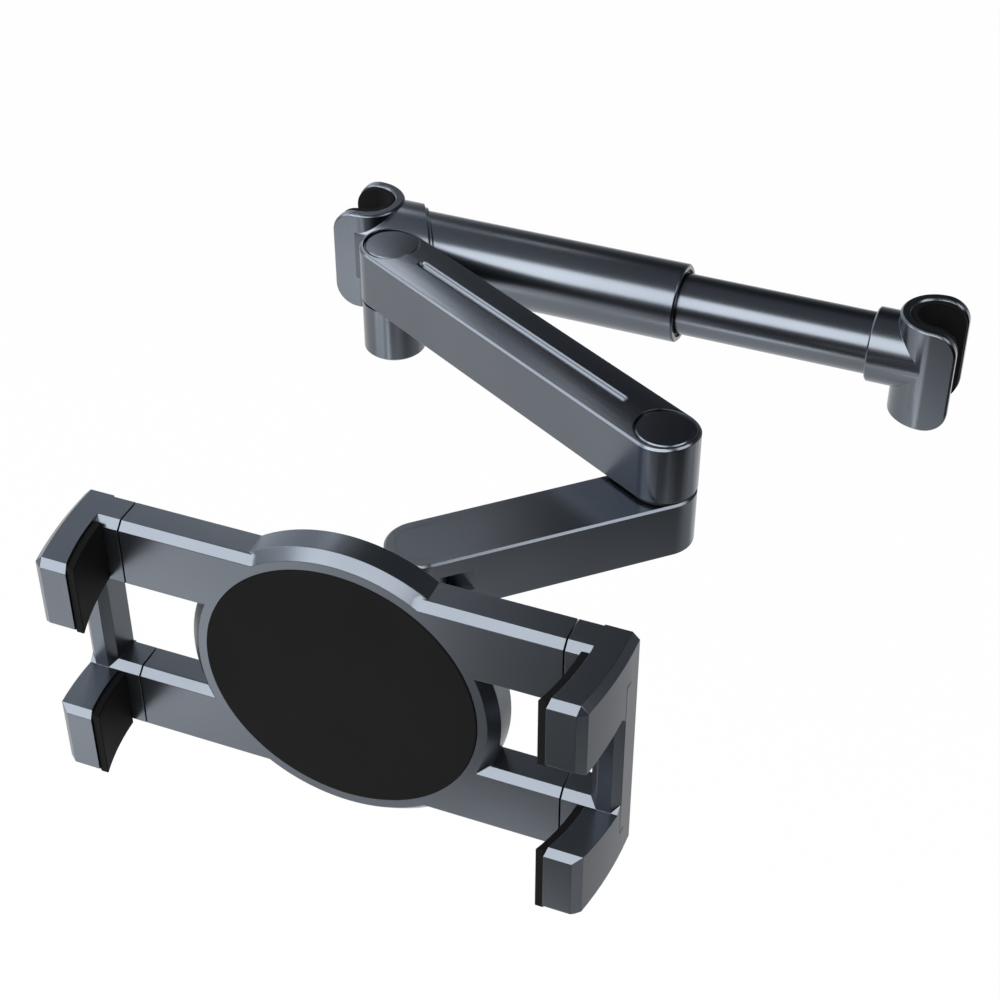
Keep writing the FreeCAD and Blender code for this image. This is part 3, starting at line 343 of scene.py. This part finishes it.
surfaceDefaults = {
    "specular": 0.5,
    "gritDetail": 3.0,
    "ringDetail": 2.0,
    "ringWobble": 1.5,
    "driftDetail": 2.0,
    "driftSpan": (0.3, 0.7),  # the part of the drift's range that goes from the dark to the light colour
}


def addMarks(tree, s, place):
    # the surface's own relief: paint flakes, a tool's rings or blasted grit
    scale = 1 / (s["markMm"] * mm)
    if s["marks"] == "flakes":
        return addNode(tree, "ShaderNodeTexVoronoi", {"Scale": scale}, {"Vector": place}).outputs["Distance"]
    if s["marks"] == "rings":
        # a wave of scale 1 has its rings tau / 20 metres apart
        return addNode(tree, "ShaderNodeTexWave",
                       {"wave_type": "RINGS", "Scale": scale * math.tau / 20,
                        "Distortion": s["ringWobble"], "Detail": s["ringDetail"]},
                       {"Vector": place}).outputs["Fac"]
    return addNode(tree, "ShaderNodeTexNoise", {"Scale": scale, "Detail": s["gritDetail"]},
                   {"Vector": place}).outputs[0]


def makeSurface(name, s):
    material = bpy.data.materials.new(name)
    tree = freshTree(material)
    place = addNode(tree, "ShaderNodeTexCoord").outputs["Object"]
    drift = addNode(tree, "ShaderNodeTexNoise",
                    {"Scale": 1 / (s["driftMm"] * mm), "Detail": s["driftDetail"]}, {"Vector": place})
    marks = addMarks(tree, s, place)
    colour = addNode(tree, "ShaderNodeValToRGB", links={"Fac": drift.outputs[0]})
    shades = (s["darkHex"], s["lightHex"])
    for stop, position, shade in zip(colour.color_ramp.elements, s["driftSpan"], shades):
        stop.position = position
        stop.color = linearColour(shade)
    rough = addNode(tree, "ShaderNodeMapRange",
                    {"To Min": s["roughness"] - s["roughSpread"],
                     "To Max": s["roughness"] + s["roughSpread"]}, {"Value": marks})
    bump = addNode(tree, "ShaderNodeBump", {"Strength": s["bump"], "Distance": s["bumpMm"] * mm},
                   {"Height": marks})
    shader = addNode(tree, "ShaderNodeBsdfPrincipled",
                     {"Metallic": s["metallic"], "Specular IOR Level": s["specular"]},
                     {"Base Color": colour.outputs[0], "Roughness": rough.outputs[0],
                      "Normal": bump.outputs[0]})
    addNode(tree, "ShaderNodeOutputMaterial", links={"Surface": shader.outputs[0]})
    return material


materials = {name: makeSurface(name, {**surfaceDefaults, **s}) for name, s in surfaces.items()}
slotMaterial = {
    "anodised_aluminium": "beadBlastedAnodisedAluminium",
    "painted_abs": "metallicPaintedAbs",
    "black_rubber": "mouldedSiliconeRubber",
    "black_steel": "blackOxideSteel",
    "plated_steel": "zincNickelPlatedSteel",
    "spring_steel": "oiledSpringSteel",
    "acetal": "turnedBlackAcetal",
}
slotOf = {s["node"]: s["material_slot"] for s in frame["record"]["subparts"]}
bodyOf = {name: obj["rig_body"] for name, obj in nodes.items()}
materialOf = {name: materials[slotMaterial[slotOf[name]]] for name in nodes}
for name, obj in nodes.items():
    obj.data.materials.clear()
    obj.data.materials.append(materialOf[name])
print("materials made:", len(materials))


def applyModifiers(piece):
    # the piece gets the plain mesh that its modifiers give
    graph = bpy.context.evaluated_depsgraph_get()
    finished = bpy.data.meshes.new_from_object(piece.evaluated_get(graph))
    piece.modifiers.clear()
    piece.data = finished


def takePlace(piece, name):
    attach(piece, bodyOf[name])
    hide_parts(name)


# Pieces as finished in the workshop: a copy of the model's solid with its sharp edges broken
edgeBreaks = {
    # node: edge radius in millimetres
    "left_bracket": 0.1,
    "right_hook": 0.1,
    "outer_tube": 0.12,
    "inner_tube": 0.12,
    "upper_arm": 0.12,
    "lower_arm": 0.05,
    "lower_arm_cover": 0.03,
    "upper_arm_cover": 0.15,
    "cradle_front": 0.15,
    "cradle_back": 0.15,
    "left_claw": 0.1,
    "right_claw": 0.1,
    "tilt_head": 0.2,
    "swivel_neck": 0.4,
    "disc_pad": 0.2,
    "left_upper_pad": 0.35,
    "left_lower_pad": 0.35,
    "right_upper_pad": 0.35,
    "right_lower_pad": 0.35,
    "left_hook_liner": 0.3,
    "right_hook_liner": 0.3,
}
seamBreaks = {
    # node: edge radius beside a piece let into it, narrow at the flush cover and wide around the caps
    "lower_arm": {"lower_arm_cover": 0.03},
    "upper_arm": {"pivot_cap_a": 0.3, "pivot_cap_b": 0.3},
}
sharpDegrees = 28  # an edge that turns by more is sharp
edgeFinish = {
    "mergeMm": 0.05,
    "flatDegrees": 0.3,   # faces that turn by less become one
    "seamReachMm": 0.25,  # an edge this near to the piece let in belongs to its seam
    "segments": 3,
    "faceWeight": 90,
}


def weighEdges(work, name, radiusMm, s):
    # every sharp edge weighs its radius as a share of the piece's widest one, which is returned
    layer = work.edges.layers.float.new("bevel_weight_edge")
    seams = seamBreaks.get(name, {})
    widest = max([radiusMm, *seams.values()])
    reach = s["seamReachMm"] * mm
    surfaceOf = {inner: BVHTree.FromPolygons([vert.co for vert in nodes[inner].data.vertices],
                                             [face.vertices for face in nodes[inner].data.polygons])
                 for inner in seams}
    for edge in work.edges:
        if len(edge.link_faces) != 2 or edge.calc_face_angle() < math.radians(sharpDegrees):
            continue
        edge[layer] = radiusMm / widest
        for inner, seamMm in seams.items():
            if all(surfaceOf[inner].find_nearest(vert.co)[3] < reach for vert in edge.verts):
                edge[layer] = seamMm / widest
    return widest


sliceReachMm = 0.0001  # corners this near to a slice's plane are on it


def sliceMesh(work, place, across):
    bmesh.ops.bisect_plane(work, geom=work.verts[:] + work.edges[:] + work.faces[:],
                           dist=sliceReachMm * mm, plane_co=place, plane_no=across)


# The upper arm's top is slightly crowned across its width, so that light fades over it
crowns = {
    "upper_arm": {
        "ends": ("pivot_cap_a", "pivot_cap_b"),
        "halfWidthMm": 9.55,
        "strips": 10,
        "riseMm": 0.7,
        "shareAbove": 0.5,  # of the rise, above the solid's own top in the middle
        "skinMm": 0.65,     # depth of what moves with the top
    },
}


def crownTop(work, s):
    start, end = [(Vector(low) + Vector(high)) / 2 for low, high in map(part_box, s["ends"])]
    along = (end - start).normalized()
    across = Vector((-along.y, along.x, 0))
    half = s["halfWidthMm"] * mm
    for i in range(1, s["strips"]):
        sliceMesh(work, start + across * half * (2 * i / s["strips"] - 1), across)
    top = max(vert.co.z for vert in work.verts)
    for vert in work.verts:
        if vert.co.z > top - s["skinMm"] * mm:
            share = (vert.co - start).dot(across) / half
            vert.co.z += s["riseMm"] * mm * (s["shareAbove"] - share * share)


# The tube socket's blunt end sinks into the flat of the left hook
sunkEnds = {
    "left_bracket": {"endMm": 0.0, "endReachMm": 0.02, "fadeMm": 8.5, "flatMm": -11.02},
}


def sinkEnd(work, s):
    sliceMesh(work, (s["fadeMm"] * mm, 0, 0), (1, 0, 0))
    for vert in work.verts:
        if abs(vert.co.x - s["endMm"] * mm) < s["endReachMm"] * mm and vert.co.y < s["flatMm"] * mm:
            vert.co.y = s["flatMm"] * mm


def breakEdges(name, radiusMm, s):
    mesh = nodes[name].data.copy()
    mesh.name = name + "_finished"
    work = bmesh.new()
    work.from_mesh(mesh)
    bmesh.ops.remove_doubles(work, verts=work.verts, dist=s["mergeMm"] * mm)
    bmesh.ops.dissolve_limit(work, angle_limit=math.radians(s["flatDegrees"]),
                             verts=work.verts, edges=work.edges)
    widest = weighEdges(work, name, radiusMm, s)
    if name in sunkEnds:
        sinkEnd(work, sunkEnds[name])
    if name in crowns:
        crownTop(work, crowns[name])
    work.to_mesh(mesh)
    work.free()
    piece = addObject(name + "_finished", mesh)
    bevel = piece.modifiers.new("edgeBreak", "BEVEL")
    bevel.width = widest * mm
    bevel.segments = s["segments"]
    bevel.use_clamp_overlap = False
    bevel.limit_method = "WEIGHT"
    weighted = piece.modifiers.new("evenShading", "WEIGHTED_NORMAL")
    weighted.keep_sharp = True
    weighted.weight = s["faceWeight"]
    for face in mesh.polygons:
        face.use_smooth = True
    applyModifiers(piece)
    takePlace(piece, name)


for name, radius in edgeBreaks.items():
    breakEdges(name, radius, edgeFinish)
print("edges broken on", len(edgeBreaks), "pieces")


# The two pivot caps, turned with a shallow dome, a chamfered rim and a shadow groove round it
capShape = {
    "standMm": 0.2,  # higher than the model's cap
    "grooveWidthMm": 0.55,
    "grooveDepthMm": 0.5,
    "rimMm": 0.28,
    "domeMm": 0.15,
    "footChamferMm": 0.15,
    "domeSteps": 10,
    "segments": 128,
}


def turnCap(name, s):
    low, high = (Vector(corner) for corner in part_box(name))
    middle, radius = (low + high) / 2, (high.x - low.x) / 2
    rim, dome, foot = s["rimMm"] * mm, s["domeMm"] * mm, s["footChamferMm"] * mm
    ledge, face = high.z - s["grooveDepthMm"] * mm, radius - s["grooveWidthMm"] * mm
    shoulder, flat = high.z + s["standMm"] * mm - dome, face - rim
    rings = [(radius - foot, low.z), (radius, low.z + foot), (radius, ledge), (face, ledge),
             (face, shoulder - rim), (flat, shoulder)]
    for i in range(1, s["domeSteps"]):
        out = 1 - i / s["domeSteps"]
        rings.append((flat * out, shoulder + dome * (1 - out * out)))
    count = s["segments"]
    turns = [math.tau * i / count for i in range(count)]
    corners = [(middle.x + away * math.cos(turn), middle.y + away * math.sin(turn), height)
               for away, height in rings for turn in turns]
    # two corners on the axis come after the rings, and last is where the highest ring starts
    bottom, top, last = len(corners), len(corners) + 1, len(corners) - count
    corners += [(middle.x, middle.y, low.z), (middle.x, middle.y, shoulder + dome)]
    faces = []
    for i in range(count):
        after = (i + 1) % count
        faces += [(bottom, after, i), (top, last + i, last + after)]
        faces += [(j + i, j + after, j + count + after, j + count + i) for j in range(0, last, count)]
    mesh = bpy.data.meshes.new(name + "_finished")
    mesh.from_pydata(corners, [], faces)
    for polygon in mesh.polygons:
        polygon.use_smooth = True
    mesh.set_sharp_from_angle(angle=math.radians(sharpDegrees))
    mesh.materials.append(materialOf[name])
    takePlace(addObject(name + "_finished", mesh), name)


for name in ("pivot_cap_a", "pivot_cap_b"):
    turnCap(name, capShape)
print("caps turned")


# Pan-head screws with a cross recess, set by Geometry Nodes on the heads of the model's screws
screwSizes = {
    # millimetres
    "Head Radius": 1.9,
    "Head Height": 1.0,
    "Dome Radius": 4.2,
    "Shank Radius": 1.1,
    "Shank Length": 4.5,
    "Recess Length": 2.2,
    "Recess Width": 0.5,
    "Recess Depth": 0.6,
}
screwSteps = {
    "rodSides": 48,
    "ballSteps": 96,
    "mergeMm": 0.002,
    "topReachMm": 0.01,  # corners this near to the highest one are on the head's top
}
screwSets = {
    # node: the way that its heads face
    "cradle_screws": (0, 1, 0),
    "upper_cover_screws": (0, 0, -1),
}


def makeScrewTree(sizes, s):
    # one screw, head top at the point and shank along -Z, placed on each point of the mesh it gets
    tree = bpy.data.node_groups.new("panScrews", "GeometryNodeTree")
    tree.interface.new_socket("Geometry", in_out="INPUT", socket_type="NodeSocketGeometry")
    for name, size in sizes.items():
        socket = tree.interface.new_socket(name, in_out="INPUT", socket_type="NodeSocketFloat")
        socket.default_value = size * mm
    tree.interface.new_socket("Heading", in_out="INPUT", socket_type="NodeSocketVector")
    tree.interface.new_socket("Material", in_out="INPUT", socket_type="NodeSocketMaterial")
    tree.interface.new_socket("Geometry", in_out="OUTPUT", socket_type="NodeSocketGeometry")
    given = addNode(tree, "NodeGroupInput").outputs

    # the head's rod, the shank's rod and the ball that domes the head, each moved down to its own depth
    headMiddle = addNode(tree, "ShaderNodeMath", {"operation": "MULTIPLY", 1: 0.5}, {0: given["Head Height"]})
    shankMiddle = addNode(tree, "ShaderNodeMath", {"operation": "MULTIPLY_ADD", 1: 0.5},
                          {0: given["Shank Length"], 2: given["Head Height"]})
    headRod = addNode(tree, "GeometryNodeMeshCylinder", {"Vertices": s["rodSides"]},
                      {"Radius": given["Head Radius"], "Depth": given["Head Height"]})
    shankRod = addNode(tree, "GeometryNodeMeshCylinder", {"Vertices": s["rodSides"]},
                       {"Radius": given["Shank Radius"], "Depth": given["Shank Length"]})
    ball = addNode(tree, "GeometryNodeMeshUVSphere", {"Segments": s["ballSteps"], "Rings": s["ballSteps"]},
                   {"Radius": given["Dome Radius"]})
    lowered = []
    for shape, depth in ((headRod, headMiddle.outputs[0]), (shankRod, shankMiddle.outputs[0]),
                         (ball, given["Dome Radius"])):
        down = addNode(tree, "ShaderNodeMath", {"operation": "MULTIPLY", 1: -1.0}, {0: depth})
        place = addNode(tree, "ShaderNodeCombineXYZ", links={"Z": down.outputs[0]})
        moved = addNode(tree, "GeometryNodeTransform",
                        links={"Geometry": shape.outputs["Mesh"], "Translation": place.outputs[0]})
        lowered.append(moved.outputs[0])
    headRod, shankRod, ball = lowered

    # two slits make the cross, each cut from as far above the head's top as it goes below
    height = addNode(tree, "ShaderNodeMath", {"operation": "MULTIPLY", 1: 2.0}, {0: given["Recess Depth"]})
    slits = []
    for x, y in (("Recess Length", "Recess Width"), ("Recess Width", "Recess Length")):
        size = addNode(tree, "ShaderNodeCombineXYZ",
                       links={"X": given[x], "Y": given[y], "Z": height.outputs[0]})
        slits.append(addNode(tree, "GeometryNodeMeshCube", links={"Size": size.outputs[0]}).outputs["Mesh"])

    head = addNode(tree, "GeometryNodeMeshBoolean", {"operation": "INTERSECT", "solver": "EXACT"},
                   {"Mesh 2": [headRod, ball]})
    whole = addNode(tree, "GeometryNodeMeshBoolean", {"operation": "UNION", "solver": "EXACT"},
                    {"Mesh 2": [head.outputs["Mesh"], shankRod]})
    screw = addNode(tree, "GeometryNodeMeshBoolean", {"operation": "DIFFERENCE", "solver": "EXACT"},
                    {"Mesh 2": slits, "Mesh 1": whole.outputs["Mesh"]})
    smooth = addNode(tree, "GeometryNodeSetShadeSmooth", links={"Geometry": screw.outputs["Mesh"]})
    bend = addNode(tree, "GeometryNodeInputMeshEdgeAngle").outputs["Unsigned Angle"]
    sharp = addNode(tree, "ShaderNodeMath", {"operation": "GREATER_THAN", 1: math.radians(sharpDegrees)},
                    {0: bend})
    shaded = addNode(tree, "GeometryNodeSetShadeSmooth", {"domain": "EDGE", "Shade Smooth": False},
                     {"Geometry": smooth.outputs[0], "Selection": sharp.outputs[0]})
    turn = addNode(tree, "FunctionNodeAlignRotationToVector", {"axis": "Z"}, {"Vector": given["Heading"]})
    placed = addNode(tree, "GeometryNodeInstanceOnPoints",
                     links={"Points": given["Geometry"], "Instance": shaded.outputs[0],
                            "Rotation": turn.outputs[0]})
    solid = addNode(tree, "GeometryNodeRealizeInstances", links={"Geometry": placed.outputs[0]})
    painted = addNode(tree, "GeometryNodeSetMaterial",
                      links={"Geometry": solid.outputs[0], "Material": given["Material"]})
    addNode(tree, "NodeGroupOutput", links={"Geometry": painted.outputs[0]})
    return tree


def headPlaces(name, heading, s):
    # the middle of each screw head's top, found among the corners of the model's screws
    work = bmesh.new()
    work.from_mesh(nodes[name].data)
    bmesh.ops.remove_doubles(work, verts=work.verts, dist=s["mergeMm"] * mm)
    waiting = dict.fromkeys(work.verts)
    places = []
    while waiting:
        reached = [waiting.popitem()[0]]
        for vert in reached:
            near = [edge.other_vert(vert) for edge in vert.link_edges if edge.other_vert(vert) in waiting]
            for other in near:
                del waiting[other]
            reached.extend(near)
        top = max(vert.co.dot(heading) for vert in reached)
        rim = [vert.co.copy() for vert in reached if vert.co.dot(heading) > top - s["topReachMm"] * mm]
        places.append([(min(p[i] for p in rim) + max(p[i] for p in rim)) / 2 for i in range(3)])
    work.free()
    return places


def placeScrews(tree, name, heading, s):
    mesh = bpy.data.meshes.new(name + "_places")
    mesh.from_pydata(headPlaces(name, Vector(heading), s), [], [])
    piece = addObject(name + "_finished", mesh)
    screws = piece.modifiers.new("panScrews", "NODES")
    screws.node_group = tree
    sockets = {item.name: item.identifier for item in tree.interface.items_tree if item.in_out == "INPUT"}
    for size, value in screwSizes.items():
        screws[sockets[size]] = value * mm
    screws[sockets["Heading"]] = [float(part) for part in heading]
    screws[sockets["Material"]] = materialOf[name]
    applyModifiers(piece)
    takePlace(piece, name)
    print(name, "placed:", len(mesh.vertices), "screws,", len(piece.data.polygons), "faces")


screwTree = makeScrewTree(screwSizes, screwSteps)
for name, heading in screwSets.items():
    placeScrews(screwTree, name, heading, screwSteps)
